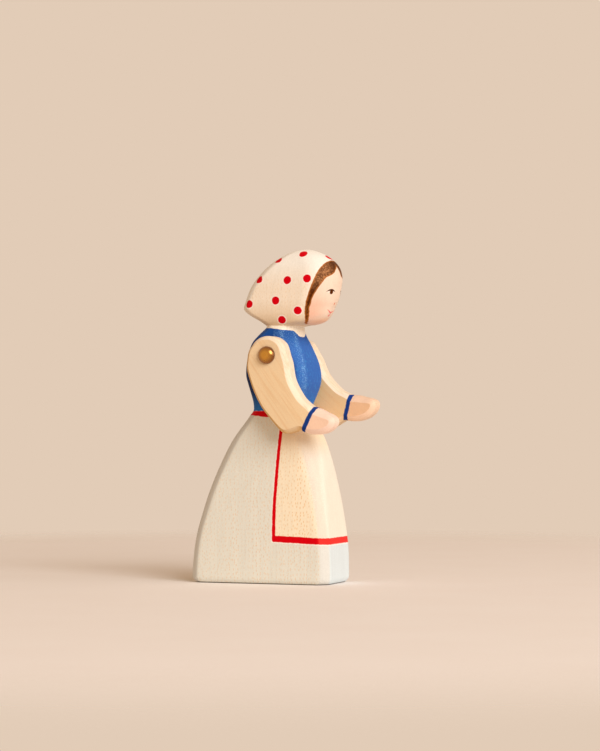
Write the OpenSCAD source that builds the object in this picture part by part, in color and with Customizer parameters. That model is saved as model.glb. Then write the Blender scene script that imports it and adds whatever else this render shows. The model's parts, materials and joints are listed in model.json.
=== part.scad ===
// A small wooden woman with a kerchief and two swinging arms.
// The head, torso and skirt are one piece, sawn from a board and carved round
// its edges. Each arm is a flat sawn piece that turns on a brass dome nail.
// Sizes are in millimetres. The origin is the middle of the underside, the
// face looks along -Y and the doll's right arm is on the -X side.

/* [Skirt] */
// Height of the skirt, from the table to the waist
skirt_h = 58.5; // [50:0.5:70]
// Depth of the hem, from front to back
hem_depth = 50; // [42:0.5:60]
// Width of the hem, from side to side
hem_width = 25; // [22:0.25:30]
// Size of the bevel along the upright edges
edge_cut = 3; // [2:0.1:3.5]
// Rounding of the edge that stands on the table
foot_round = 2.2; // [1:0.1:3]

/* [Torso] */
// Height of the torso, from the waist to the neck
torso_h = 28.5; // [25:0.25:34]
// Depth of the torso across the bosom
torso_depth = 22; // [20:0.1:26]
// Width of the torso between the two arms
torso_width = 20.8; // [19:0.1:22]

/* [Head] */
// Height of the head, from the neck to the top of the kerchief
head_h = 26; // [22:0.25:31]
// Depth of the head, from the brow to the tail of the kerchief
head_depth = 32.2; // [27:0.1:37]
// How far each side of the head lies inside the side of the torso
head_inset = 0.2; // [0:0.05:1.5]
// Depth over which the face curves back to the cheeks
face_round = 9; // [7:0.1:10]

/* [Arms] */
// Drop of the elbow below the nail
upper_arm_l = 26.2; // [25:0.1:28]
// Reach of the fingertips in front of the nail
forearm_l = 23.5; // [21:0.1:25]
// Radius of the round shoulder end
shoulder_r = 6.4; // [5.5:0.1:7.5]
// Thickness of the board that an arm is sawn from
arm_thickness = 7.5; // [6:0.1:9]
// Size of the rounded edge along the front of the sleeve
arm_edge = 1.6; // [0.8:0.1:1.7]
// Angle by which the left hand is held higher than the right one
left_lift = 13.5; // [0:0.5:30]

/* [Nails] */
// Diameter of the brass dome
nail_head_d = 5.9; // [4:0.1:8]
// Height of the brass dome
nail_head_h = 2.1; // [1.4:0.1:3]
// Diameter of the shank
nail_shank_d = 1.6; // [1.2:0.1:2.4]
// Depth to which a nail is driven into the torso
nail_bite = 8; // [5:0.1:9]

/* [Fits] */
// Gap between the flat of an arm and the side of the torso
arm_gap = 0.2; // [0.1:0.05:0.3]
// Gap between an arm and the rim of its nail's dome
dome_gap = 0.1; // [0.05:0.05:0.3]
// Gap all round a shank in the bore of its arm
bore_gap = 0.05; // [0.02:0.01:0.1]

/* [Hidden] */

// How finely the carved forms are drawn
row_steps = 2;
outline_steps = 3;
corner_steps = 5;
shoulder_steps = 7;
edge_steps = 3;
square_reach = 4;
dome_steps = 10;
round_steps = 48;

// The torso stands a little in front of the hem's middle, the head more so
torso_lean_share = 0.092;
head_lean_share = 0.18;
torso_y = -hem_depth * torso_lean_share;
head_y = -hem_depth * head_lean_share;
neck_z = skirt_h + torso_h;
head_width = torso_width - 2 * head_inset;

// How far the base draws in, as a share of foot_round
foot_inset_share = 0.8;

// How full the bevels of the back edges are, from flat 0 to round 1
back_round_share = 0.35;
arm_round_share = 0.4;

// Skirt rows: height, back, front, flare, back bevel, front bevel across,
// front bevel along, front roundness
skirt_shares = [
    [0.00, 0.498, 0.496, 1.00, 0.90, 1.07, 0.97, 0.20],
    [0.01, 0.499, 0.496, 1.00, 0.90, 1.07, 0.97, 0.20],
    [0.04, 0.500, 0.497, 1.00, 0.90, 1.07, 0.97, 0.20],
    [0.10, 0.499, 0.497, 0.98, 0.93, 1.05, 0.97, 0.20],
    [0.20, 0.489, 0.493, 0.93, 0.95, 1.00, 0.95, 0.20],
    [0.30, 0.469, 0.481, 0.86, 1.00, 0.93, 0.95, 0.20],
    [0.40, 0.436, 0.466, 0.76, 1.05, 0.95, 1.00, 0.20],
    [0.50, 0.401, 0.450, 0.60, 1.10, 1.07, 1.10, 0.25],
    [0.60, 0.357, 0.431, 0.38, 1.10, 1.33, 1.30, 0.35],
    [0.70, 0.308, 0.412, 0.12, 1.15, 1.80, 1.60, 0.45],
    [0.80, 0.248, 0.379, 0.00, 1.15, 2.10, 1.70, 0.50],
    [0.87, 0.191, 0.342, 0.00, 1.10, 2.15, 1.60, 0.50],
    [0.93, 0.134, 0.300, 0.00, 1.05, 2.05, 1.50, 0.45],
    [0.97, 0.098, 0.274, 0.00, 1.00, 1.90, 1.50, 0.40]
];

// Torso rows: the same columns, with a width in place of the flare
torso_shares = [
    [0.00, 0.377, 0.386, 1.00, 1.00, 1.80, 1.50, 0.35],
    [0.09, 0.382, 0.409, 1.00, 1.00, 1.50, 1.40, 0.30],
    [0.18, 0.414, 0.445, 1.00, 1.00, 1.10, 1.30, 0.25],
    [0.30, 0.464, 0.491, 1.00, 1.00, 0.80, 1.20, 0.20],
    [0.40, 0.500, 0.500, 1.00, 1.00, 0.70, 1.20, 0.20],
    [0.50, 0.500, 0.482, 1.00, 1.00, 0.65, 1.20, 0.20],
    [0.60, 0.482, 0.450, 1.00, 1.00, 0.80, 1.30, 0.20],
    [0.70, 0.452, 0.400, 1.00, 1.00, 1.00, 1.40, 0.25],
    [0.80, 0.395, 0.345, 1.00, 0.95, 1.25, 1.50, 0.30],
    [0.88, 0.305, 0.295, 0.99, 0.95, 1.50, 1.50, 0.35],
    [0.94, 0.227, 0.277, 0.93, 0.90, 1.60, 1.40, 0.40],
    [0.98, 0.180, 0.273, 0.87, 0.85, 1.55, 1.25, 0.40]
];

// Head rows: the same columns, with the front bevel across as a share of
// the half width and the front bevel along as a share of face_round
head_shares = [
    [0.000, 0.264, 0.060, 0.86, 0.80, 0.55, 0.45, 0.50],
    [0.012, 0.270, 0.130, 0.88, 0.80, 0.75, 0.65, 0.70],
    [0.027, 0.286, 0.233, 0.91, 0.80, 0.92, 0.90, 0.90],
    [0.058, 0.320, 0.304, 0.95, 0.80, 0.96, 1.00, 1.00],
    [0.100, 0.379, 0.348, 0.98, 0.80, 0.96, 1.05, 1.00],
    [0.154, 0.450, 0.383, 1.00, 0.80, 0.96, 1.10, 1.00],
    [0.204, 0.493, 0.403, 1.00, 0.80, 0.96, 1.10, 1.00],
    [0.242, 0.500, 0.416, 1.00, 0.80, 0.96, 1.10, 1.00],
    [0.308, 0.483, 0.444, 1.00, 0.80, 0.96, 1.10, 1.00],
    [0.400, 0.457, 0.469, 1.00, 0.85, 0.96, 1.10, 1.00],
    [0.500, 0.422, 0.485, 1.00, 0.90, 0.96, 1.10, 1.00],
    [0.600, 0.371, 0.497, 0.98, 0.95, 0.96, 1.10, 1.00],
    [0.700, 0.306, 0.488, 0.94, 1.00, 0.96, 1.05, 1.00],
    [0.780, 0.242, 0.460, 0.87, 1.00, 0.96, 1.00, 1.00],
    [0.850, 0.176, 0.410, 0.78, 1.00, 0.96, 0.95, 1.00],
    [0.908, 0.106, 0.345, 0.66, 0.90, 0.96, 0.80, 1.00],
    [0.950, 0.040, 0.280, 0.53, 0.75, 0.96, 0.70, 1.00],
    [0.980, -0.031, 0.215, 0.36, 0.50, 0.96, 0.50, 1.00],
    [0.996, -0.084, 0.165, 0.17, 0.25, 0.96, 0.25, 1.00],
    [1.000, -0.109, 0.140, 0.06, 0.08, 0.96, 0.08, 1.00]
];

// Arm outline below the round shoulder, from the back of the sleeve over the
// elbow and the hand to the front: reach, height and edge size, the last as a
// share of arm_edge
arm_shares = [
    [-0.287, 0.050, 0.50], [-0.309, -0.050, 0.50], [-0.317, -0.153, 0.50],
    [-0.292, -0.255, 0.50], [-0.215, -0.450, 0.50], [-0.123, -0.615, 0.50],
    [-0.049, -0.715, 0.50], [0.102, -0.875, 0.55], [0.180, -0.950, 0.60],
    [0.238, -0.990, 0.70], [0.305, -0.996, 0.80], [0.490, -0.950, 0.90],
    [0.530, -0.973, 1.00], [0.660, -1.008, 1.10], [0.820, -1.000, 1.10],
    [0.936, -0.950, 1.00], [0.998, -0.875, 0.95], [0.994, -0.810, 0.95],
    [0.940, -0.765, 1.10], [0.862, -0.730, 1.30], [0.765, -0.685, 1.50],
    [0.680, -0.660, 1.50], [0.638, -0.646, 1.00], [0.562, -0.593, 1.00],
    [0.495, -0.532, 1.00], [0.398, -0.391, 1.00], [0.346, -0.274, 1.00],
    [0.312, -0.100, 1.00], [0.281, -0.010, 1.00]
];
shoulder_start = 30;
shoulder_end = 150;
back_edge_share = 0.5;

// The nail's place in the side of the torso
nail_height_share = 0.642;
nail_back_share = 0.032;
pivot_y = torso_y - torso_depth * nail_back_share;
pivot_z = skirt_h + torso_h * nail_height_share;

arm_inner_x = torso_width / 2 + arm_gap;
arm_outer_x = arm_inner_x + arm_thickness;
dome_base_x = arm_outer_x + dome_gap;
nail_rim_share = 0.12;
nail_point_share = 0.8;
bore_d = nail_shank_d + 2 * bore_gap;
overrun = arm_thickness / 2;

function mix(a, b, share) = a + (b - a) * share;

// A smooth curve through b and c, with a and d as their outer neighbours
function curve(a, b, c, d, t) =
    (2 * b + (c - a) * t + (2 * a - 5 * b + 4 * c - d) * t * t
        + (3 * b - a - 3 * c + d) * t * t * t) / 2;

function smooth_open(rows, steps) = [
    for (i = [0 : len(rows) - 2], k = [0 : steps - 1])
        curve(rows[max(i - 1, 0)], rows[i], rows[i + 1],
              rows[min(i + 2, len(rows) - 1)], k / steps),
    rows[len(rows) - 1]
];

function smooth_closed(points, steps) = [
    for (i = [0 : len(points) - 1], k = [0 : steps - 1])
        let (n = len(points))
        curve(points[(i + n - 1) % n], points[i], points[(i + 1) % n],
              points[(i + 2) % n], k / steps)
];

// A bevelled corner at share u of its way, between a flat cut and an arc
function corner_across(u, roundness) = mix(1 - u, cos(90 * u), roundness);
function corner_along(u, roundness) = mix(u, sin(90 * u), roundness);

// Each row below is height, back, front, half width, back bevel, front bevel
// across, front bevel along and front roundness
function skirt_rows() = [
    for (r = skirt_shares) [
        r[0] * skirt_h, r[1] * hem_depth, r[2] * hem_depth,
        mix(torso_width, hem_width, r[3]) / 2,
        r[4] * edge_cut, r[5] * edge_cut, r[6] * edge_cut, r[7]
    ]
];
function torso_rows() = [
    for (r = torso_shares) [
        skirt_h + r[0] * torso_h,
        r[1] * torso_depth + torso_y, r[2] * torso_depth - torso_y,
        r[3] * torso_width / 2,
        r[4] * edge_cut, r[5] * edge_cut, r[6] * edge_cut, r[7]
    ]
];
function head_rows() = [
    for (r = head_shares) [
        neck_z + r[0] * head_h,
        r[1] * head_depth + head_y, r[2] * head_depth - head_y,
        r[3] * head_width / 2,
        r[4] * edge_cut, r[5] * r[3] * head_width / 2, r[6] * face_round, r[7]
    ]
];

// How far the lowest rows draw in, so that the base edge is rounded
function foot_inset(z) =
    z >= foot_round ? 0 : foot_round - sqrt(foot_round ^ 2 - (foot_round - z) ^ 2);

// One level outline of the figure, clockwise from above
function ring(row) =
    let (
        z = row[0], inset = foot_inset(row[0]) * foot_inset_share,
        back = row[1] - inset, front = row[2] - inset, half = row[3] - inset,
        cut = row[4], across = row[5], along = row[6], roundness = row[7],
        shares = [for (i = [0 : corner_steps]) i / corner_steps],
        back_corner = [
            for (u = shares) [
                half - cut + cut * corner_across(1 - u, back_round_share),
                back - cut + cut * corner_along(1 - u, back_round_share)
            ]
        ],
        front_corner = [
            for (u = shares) [
                half - across + across * corner_across(u, roundness),
                along - front - along * corner_along(u, roundness)
            ]
        ],
        right = concat(back_corner, front_corner)
    )
    concat(
        [for (p = right) [p[0], p[1], z]],
        [for (i = [len(right) - 1 : -1 : 0]) [-right[i][0], right[i][1], z]]
    );

// Walls between rings of equal length, closed by a flat face at each end
module loft(rings) {
    n = len(rings[0]);
    walls = [
        for (k = [0 : len(rings) - 2], i = [0 : n - 1])
            let (a = k * n + i, b = k * n + (i + 1) % n)
            each [[a, b, b + n], [a, b + n, a + n]]
    ];
    first = [for (i = [n - 1 : -1 : 0]) i];
    last = [for (i = [0 : n - 1]) (len(rings) - 1) * n + i];
    polyhedron([for (r = rings) each r], concat([first], walls, [last]));
}

// A nail's hole or shank, from the inner end of the nail outwards
module along_nail(side, diameter, from, to) {
    translate([side * from, pivot_y, pivot_z])
        rotate([0, side * 90, 0])
            cylinder(h = to - from, d = diameter, $fn = round_steps);
}

module figure() {
    color("wheat")
    difference() {
        loft([
            for (row = smooth_open(concat(skirt_rows(), torso_rows(), head_rows()), row_steps))
                ring(row)
        ]);
        for (side = [-1, 1])
            along_nail(side, nail_shank_d, torso_width / 2 - nail_bite, torso_width / 2 + overrun);
    }
}

// The arm's outline round the nail, from the back of the shoulder down: reach,
// height and edge size
function arm_points() = concat(
    [
        for (p = arm_shares)
            [p[0] * forearm_l, p[1] * upper_arm_l, p[2] * arm_edge]
    ],
    [
        for (i = [0 : shoulder_steps])
            let (u = i / shoulder_steps, a = mix(shoulder_start, shoulder_end, u))
            [shoulder_r * cos(a), shoulder_r * sin(a), arm_edge * mix(1, back_edge_share, u)]
    ]
);

// The outline drawn in by a share of its edge size, square to the line between
// the points some way before and behind, so that tight corners don't cross
function drawn_in(points, share) = [
    for (i = [0 : len(points) - 1])
        let (
            n = len(points), p = points[i],
            way = points[(i + square_reach) % n] - points[(i + n - square_reach) % n],
            size = sqrt(way[0] ^ 2 + way[1] ^ 2),
            inset = p[2] * share
        )
        [p[0] - inset * way[1] / size, p[1] + inset * way[0] / size, p[2]]
];

// One layer of the arm at share u of its rounded edge, inwards from a face
function arm_layer(points, u, face_x, inwards) =
    let (
        depth_share = 1 - corner_along(u, arm_round_share),
        inset_share = 1 - corner_across(u, arm_round_share)
    )
    [
        for (p = drawn_in(points, inset_share))
            [face_x + inwards * p[2] * depth_share, -p[0], p[1]]
    ];

// The right arm, turned up about its nail by an angle
module arm_blank(lift) {
    points = smooth_closed(arm_points(), outline_steps);
    shares = [for (i = [0 : edge_steps]) i / edge_steps];
    translate([0, pivot_y, pivot_z])
        rotate([-lift, 0, 0])
            loft(concat(
                [for (i = [edge_steps : -1 : 0]) arm_layer(points, shares[i], -arm_outer_x, 1)],
                [for (u = shares) arm_layer(points, u, -arm_inner_x, -1)]
            ));
}

module right_arm() {
    color("burlywood")
    difference() {
        arm_blank(0);
        along_nail(-1, bore_d, arm_inner_x - overrun, arm_outer_x + overrun);
    }
}

module left_arm() {
    color("burlywood")
    difference() {
        mirror([1, 0, 0]) arm_blank(left_lift);
        along_nail(1, bore_d, arm_inner_x - overrun, arm_outer_x + overrun);
    }
}

// A dome-headed nail along +Z, with its dome's rim at zero
module nail() {
    rim = nail_head_h * nail_rim_share;
    shank_l = dome_base_x - torso_width / 2 + nail_bite;
    point_l = nail_shank_d * nail_point_share;
    rotate_extrude($fn = round_steps)
        polygon(concat(
            [
                [0, -shank_l], [nail_shank_d / 2, point_l - shank_l],
                [nail_shank_d / 2, 0], [nail_head_d / 2, 0]
            ],
            [
                for (i = [0 : dome_steps])
                    let (a = 90 * i / dome_steps)
                    [nail_head_d / 2 * cos(a), rim + (nail_head_h - rim) * sin(a)]
            ]
        ));
}

module right_nail() {
    color("goldenrod")
    translate([-dome_base_x, pivot_y, pivot_z]) rotate([0, -90, 0]) nail();
}

module left_nail() {
    color("goldenrod")
    translate([dome_base_x, pivot_y, pivot_z]) rotate([0, 90, 0]) nail();
}

figure();
right_arm();
left_arm();
right_nail();
left_nail();
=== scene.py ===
import json
import math

import bmesh
import bpy
import numpy as np
from mathutils import Matrix, Vector


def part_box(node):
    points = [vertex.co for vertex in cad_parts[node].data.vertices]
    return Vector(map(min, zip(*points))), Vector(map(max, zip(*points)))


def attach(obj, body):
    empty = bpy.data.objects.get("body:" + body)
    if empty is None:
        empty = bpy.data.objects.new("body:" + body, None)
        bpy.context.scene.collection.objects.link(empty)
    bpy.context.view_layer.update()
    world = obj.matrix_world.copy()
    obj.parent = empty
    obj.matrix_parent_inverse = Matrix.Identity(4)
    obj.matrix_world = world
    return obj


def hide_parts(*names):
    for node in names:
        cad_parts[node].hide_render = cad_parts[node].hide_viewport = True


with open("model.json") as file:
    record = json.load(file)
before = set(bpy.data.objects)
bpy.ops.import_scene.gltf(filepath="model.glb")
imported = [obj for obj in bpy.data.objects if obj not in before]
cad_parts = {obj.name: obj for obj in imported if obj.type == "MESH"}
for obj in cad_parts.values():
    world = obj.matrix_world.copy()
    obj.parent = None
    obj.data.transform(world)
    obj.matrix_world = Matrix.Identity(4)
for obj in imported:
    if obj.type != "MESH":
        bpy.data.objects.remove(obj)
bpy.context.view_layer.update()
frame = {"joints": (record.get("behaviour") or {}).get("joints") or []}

# The figure is one block of pale maple, sawn from a board in side view and then
# carved round its edges and sanded, so head, torso and skirt have flat sides,
# bevelled edges and a rounded face. It stands on its flat sawn base. Sizes are in
# millimetres, heights are from the table, and the doll looks along -Y. A length
# below TINY counts as none.
MM = 0.001
TINY = 0.001
SKIRT_TALL = 58.5
HEM_DEEP = 50.0
HEM_WIDE = 25.0
BEVEL = 3.0
FOOT_ROUND = 2.2
FOOT_INSET_SHARE = 0.8
TORSO_TALL = 28.5
TORSO_DEEP = 22.0
TORSO_WIDE = 20.8
TORSO_AHEAD = 4.6
HEAD_TALL = 26.0
HEAD_DEEP = 32.2
HEAD_WIDE = 20.4
HEAD_AHEAD = 9.0
FACE_ROUND = 9.0
BACK_ROUND_SHARE = 0.35
NECK_HEIGHT = SKIRT_TALL + TORSO_TALL

# Rows up the skirt, as shares: height, back, front, flare, back bevel, front
# bevel across, front bevel along, front roundness
SKIRT_SHARES = [
    (0.00, 0.498, 0.496, 1.00, 0.90, 1.07, 0.97, 0.20),
    (0.01, 0.499, 0.496, 1.00, 0.90, 1.07, 0.97, 0.20),
    (0.04, 0.500, 0.497, 1.00, 0.90, 1.07, 0.97, 0.20),
    (0.10, 0.499, 0.497, 0.98, 0.93, 1.05, 0.97, 0.20),
    (0.20, 0.489, 0.493, 0.93, 0.95, 1.00, 0.95, 0.20),
    (0.30, 0.469, 0.481, 0.86, 1.00, 0.93, 0.95, 0.20),
    (0.40, 0.436, 0.466, 0.76, 1.05, 0.95, 1.00, 0.20),
    (0.50, 0.401, 0.450, 0.60, 1.10, 1.07, 1.10, 0.25),
    (0.60, 0.357, 0.431, 0.38, 1.10, 1.33, 1.30, 0.35),
    (0.70, 0.308, 0.412, 0.12, 1.15, 1.80, 1.60, 0.45),
    (0.80, 0.248, 0.379, 0.00, 1.15, 2.10, 1.70, 0.50),
    (0.87, 0.191, 0.342, 0.00, 1.10, 2.15, 1.60, 0.50),
    (0.93, 0.134, 0.300, 0.00, 1.05, 2.05, 1.50, 0.45),
    (0.97, 0.098, 0.274, 0.00, 1.00, 1.90, 1.50, 0.40),
]

# Rows up the torso: the same columns, with a width in place of the flare
TORSO_SHARES = [
    (0.00, 0.377, 0.386, 1.00, 1.00, 1.80, 1.50, 0.35),
    (0.09, 0.382, 0.409, 1.00, 1.00, 1.50, 1.40, 0.30),
    (0.18, 0.414, 0.445, 1.00, 1.00, 1.10, 1.30, 0.25),
    (0.30, 0.464, 0.491, 1.00, 1.00, 0.80, 1.20, 0.20),
    (0.40, 0.500, 0.500, 1.00, 1.00, 0.70, 1.20, 0.20),
    (0.50, 0.500, 0.482, 1.00, 1.00, 0.65, 1.20, 0.20),
    (0.60, 0.482, 0.450, 1.00, 1.00, 0.80, 1.30, 0.20),
    (0.70, 0.452, 0.400, 1.00, 1.00, 1.00, 1.40, 0.25),
    (0.80, 0.395, 0.345, 1.00, 0.95, 1.25, 1.50, 0.30),
    (0.88, 0.305, 0.295, 0.99, 0.95, 1.50, 1.50, 0.35),
    (0.94, 0.227, 0.277, 0.93, 0.90, 1.60, 1.40, 0.40),
    (0.98, 0.180, 0.273, 0.87, 0.85, 1.55, 1.25, 0.40),
]

# Rows up the head: the same columns, with the front bevel as shares of the half
# width and of the depth over which the face curves back
HEAD_SHARES = [
    (0.000, 0.264, 0.060, 0.86, 0.80, 0.55, 0.45, 0.50),
    (0.012, 0.270, 0.130, 0.88, 0.80, 0.75, 0.65, 0.70),
    (0.027, 0.286, 0.233, 0.91, 0.80, 0.92, 0.90, 0.90),
    (0.058, 0.320, 0.304, 0.95, 0.80, 0.96, 1.00, 1.00),
    (0.100, 0.379, 0.348, 0.98, 0.80, 0.96, 1.05, 1.00),
    (0.154, 0.450, 0.383, 1.00, 0.80, 0.96, 1.10, 1.00),
    (0.204, 0.493, 0.403, 1.00, 0.80, 0.96, 1.10, 1.00),
    (0.242, 0.500, 0.416, 1.00, 0.80, 0.96, 1.10, 1.00),
    (0.308, 0.483, 0.444, 1.00, 0.80, 0.96, 1.10, 1.00),
    (0.400, 0.457, 0.469, 1.00, 0.85, 0.96, 1.10, 1.00),
    (0.500, 0.422, 0.485, 1.00, 0.90, 0.96, 1.10, 1.00),
    (0.600, 0.371, 0.497, 0.98, 0.95, 0.96, 1.10, 1.00),
    (0.700, 0.306, 0.488, 0.94, 1.00, 0.96, 1.05, 1.00),
    (0.780, 0.242, 0.460, 0.87, 1.00, 0.96, 1.00, 1.00),
    (0.850, 0.176, 0.410, 0.78, 1.00, 0.96, 0.95, 1.00),
    (0.908, 0.106, 0.345, 0.66, 0.90, 0.96, 0.80, 1.00),
    (0.950, 0.040, 0.280, 0.53, 0.75, 0.96, 0.70, 1.00),
    (0.980, -0.031, 0.215, 0.36, 0.50, 0.96, 0.50, 1.00),
    (0.996, -0.084, 0.165, 0.17, 0.25, 0.96, 0.25, 1.00),
    (1.000, -0.109, 0.140, 0.06, 0.08, 0.96, 0.08, 1.00),
]


def smoothed(points, steps, closed=False):
    """Draws a smooth curve through the points, with so many steps from each to the next."""
    p = np.array(points, float)
    before, after, later = np.roll(p, 1, 0), np.roll(p, -1, 0), np.roll(p, -2, 0)
    if not closed:
        before[0], after[-1], later[-2:] = p[0], p[-1], p[-1]
    a, b, c, d = (q[:, None, :] for q in (before, p, after, later))
    t = (np.arange(steps) / steps)[None, :, None]
    curve = 2 * b + (c - a) * t + (2 * a - 5 * b + 4 * c - d) * t**2
    curve = (curve + (3 * b - a - 3 * c + d) * t**3) / 2
    curve = curve.reshape(-1, p.shape[1])
    return curve if closed else np.vstack([curve[:-steps], p[-1:]])


def corner(u, roundness):
    """How far across and along a corner of unit size lies at share u of its way.
    The corner is a flat cut where the roundness is 0 and an arc where it is 1."""
    across, along = np.cos(u * math.pi / 2), np.sin(u * math.pi / 2)
    return (1 - u) + (across - (1 - u)) * roundness, u + (along - u) * roundness


def spaced(count):
    """Shares from 0 to 1 that lie closer together towards both ends."""
    t = np.linspace(0, 1, count, endpoint=False)[None]
    return (t + (1 - np.cos(math.pi * t)) / 2) / 2


# How many points an outline has over the front, the front bevel, the side, the
# back bevel and the back
FRONT_POINTS, FRONT_BEVEL_POINTS, SIDE_POINTS, BACK_BEVEL_POINTS, BACK_POINTS = 24, 36, 70, 20, 25


def half_outlines(rows):
    """Level outlines of the left half, one a row, from the middle of the front to the back."""
    columns = [column[:, None] for column in rows.T]
    height, back, front, half, cut, across, along, roundness = columns
    dip = FOOT_ROUND - np.minimum(height, FOOT_ROUND)
    inset = (FOOT_ROUND - np.sqrt(FOOT_ROUND**2 - dip**2)) * FOOT_INSET_SHARE
    back, front, half = back - inset, front - inset, half - inset
    first, side = spaced(FRONT_POINTS), spaced(SIDE_POINTS)
    last = np.linspace(0, 1, BACK_POINTS)[None]
    front_across, front_along = corner(1 - spaced(FRONT_BEVEL_POINTS), roundness)
    back_across, back_along = corner(spaced(BACK_BEVEL_POINTS), BACK_ROUND_SHARE)
    x = [
        (half - across) * first,
        half - across + across * front_across,
        half + 0 * side,
        half - cut + cut * back_across,
        (half - cut) * (1 - last),
    ]
    y = [
        -front + 0 * first,
        along - front - along * front_along,
        (along - front) * (1 - side) + (back - cut) * side,
        back - cut + cut * back_along,
        back + 0 * last,
    ]
    x, y = np.hstack(x), np.hstack(y)
    return np.stack([x, y, height + 0 * x], -1)


def lengths_round(rings):
    """The length from each point of a closed ring to the next."""
    return np.linalg.norm(np.roll(rings, -1, 1) - rings, axis=2)


SANDED_NEIGHBOURS = 24


def sanded(rings, reach):
    """Softens each ring's ridges, as sandpaper does: a point becomes a mean of those in reach."""
    step = lengths_round(rings)
    own = (step + np.roll(step, 1, 1)) / 2
    total, weight = own[..., None] * rings, own.copy()
    ahead, behind = np.zeros_like(step), np.zeros_like(step)
    for k in range(1, SANDED_NEIGHBOURS + 1):
        ahead += np.roll(step, 1 - k, 1)
        behind += np.roll(step, k, 1)
        for distance, shift in ((ahead, -k), (behind, k)):
            near = np.exp(-((distance / reach) ** 2) / 2) * np.roll(own, shift, 1)
            total += near[..., None] * np.roll(rings, shift, 1)
            weight += near
    return total / weight[..., None]


def set_out(name, data):
    """Puts a mesh, a lamp or a camera into the scene as an object."""
    thing = bpy.data.objects.new(name, data)
    bpy.context.scene.collection.objects.link(thing)
    return thing


def mesh_piece(name, points, faces):
    """Makes a smooth piece from points in millimetres, with its faces outwards."""
    mesh = bpy.data.meshes.new(name)
    mesh.from_pydata((np.array(points) * MM).tolist(), [], faces)
    shell = bmesh.new()
    shell.from_mesh(mesh)
    bmesh.ops.recalc_face_normals(shell, faces=shell.faces)
    shell.to_mesh(mesh)
    shell.free()
    mesh.shade_smooth()
    return set_out(name, mesh)


def walls_between(rows, count):
    """Faces between so many rings, one above the other, of count points each."""
    k, i = np.meshgrid(np.arange(rows - 1), np.arange(count), indexing="ij")
    a, b = k * count + i, k * count + (i + 1) % count
    return np.stack([a, b, b + count, a + count], -1).reshape(-1, 4).tolist()


skirt_rows = [
    (h * SKIRT_TALL, b * HEM_DEEP, f * HEM_DEEP, (TORSO_WIDE + (HEM_WIDE - TORSO_WIDE) * flare) / 2,
     cut * BEVEL, across * BEVEL, along * BEVEL, soft)
    for h, b, f, flare, cut, across, along, soft in SKIRT_SHARES
]
torso_rows = [
    (SKIRT_TALL + h * TORSO_TALL, b * TORSO_DEEP - TORSO_AHEAD, f * TORSO_DEEP + TORSO_AHEAD,
     w * TORSO_WIDE / 2, cut * BEVEL, across * BEVEL, along * BEVEL, soft)
    for h, b, f, w, cut, across, along, soft in TORSO_SHARES
]
head_rows = [
    (NECK_HEIGHT + h * HEAD_TALL, b * HEAD_DEEP - HEAD_AHEAD, f * HEAD_DEEP + HEAD_AHEAD,
     w * HEAD_WIDE / 2, cut * BEVEL, across * w * HEAD_WIDE / 2, along * FACE_ROUND, soft)
    for h, b, f, w, cut, across, along, soft in HEAD_SHARES
]
# How many levels there are from row to row, how far the sanding reaches, and the
# girth below which it reaches less
ROW_STEPS = 6
SANDING = 0.45
SOFT_SANDING = 1.5
SOFT_FROM, SOFT_TO = 10.0, 30.0
SMALL_GIRTH = 40.0

halves = half_outlines(smoothed(skirt_rows + torso_rows + head_rows, ROW_STEPS))
half_count = halves.shape[1]
rings = np.concatenate([halves, halves[:, -2:0:-1] * [-1, 1, 1]], 1)
girths = lengths_round(rings).sum(1, keepdims=True)
sawn_rings = rings
# The ridges on the face's side are sanded softer than those behind, from above the
# hem to the neck
soft_share = np.interp(rings[..., 2], (SOFT_FROM, SOFT_TO), (0, 1)) * (rings[..., 1] < -TORSO_AHEAD)
soft_share *= rings[..., 2] < NECK_HEIGHT
reach = SANDING + (SOFT_SANDING - SANDING) * soft_share
rings = sanded(rings, reach * np.minimum(1, girths / SMALL_GIRTH))
ring_count = rings.shape[1]

# The base and the crown are closed by rings that shrink to a middle point
CLOSING_SHARES = (0.85, 0.6, 0.3)
base_middle, crown_middle = rings[0].mean(0), rings[-1].mean(0)
base_rings = [base_middle + (rings[0] - base_middle) * s for s in CLOSING_SHARES[::-1]]
surface = np.concatenate([np.array(base_rings), rings], 0)
surface_count = len(surface)
points = np.vstack([surface.reshape(-1, 3), base_middle[None], crown_middle[None]])
base_point, crown_point = len(points) - 2, len(points) - 1
top_ring = (surface_count - 1) * ring_count
faces = walls_between(surface_count, ring_count)
for i in range(ring_count):
    j = (i + 1) % ring_count
    faces.append([base_point, j, i])
    faces.append([crown_point, top_ring + i, top_ring + j])
figure = mesh_piece("figure_carved", points, faces)

# Every point's place as a painter would measure it: how far back, how high, and
# how far round the girth from the middle of the front, below zero on the doll's
# right side
back, height = points[:, 1], points[:, 2]
half_steps = np.linalg.norm(np.diff(surface[:, :half_count], axis=1), axis=2)
half_way = np.concatenate([np.zeros((surface_count, 1)), np.cumsum(half_steps, 1)], 1)
half_girth = half_way[:, -1:]
girth = np.concatenate([half_way, -half_way[:, -2:0:-1]], 1)
girth = np.append(girth.reshape(-1), [0.0, 0.0])


LINE_STEPS = 8


def beyond(line, place, along):
    """How far each point lies short of a painted line, which is given as (place, along) rows."""
    line = smoothed(line, LINE_STEPS)
    slope = np.interp(along, line[:, 1], np.gradient(line[:, 0], line[:, 1]))
    return (np.interp(along, line[:, 1], line[:, 0]) - place) / np.sqrt(1 + slope**2)


# The edge of the kerchief round the face, as (back, height)
KERCHIEF_EDGE = [
    (-13.1, 86.0), (-13.6, 87.0), (-14.2, 87.6), (-15.1, 88.6), (-15.4, 89.9), (-15.5, 91.3),
    (-16.0, 94.4), (-17.2, 98.3), (-18.5, 101.8), (-19.9, 105.2), (-21.2, 107.6), (-22.6, 109.6),
    (-24.5, 112.0),
]
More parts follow.
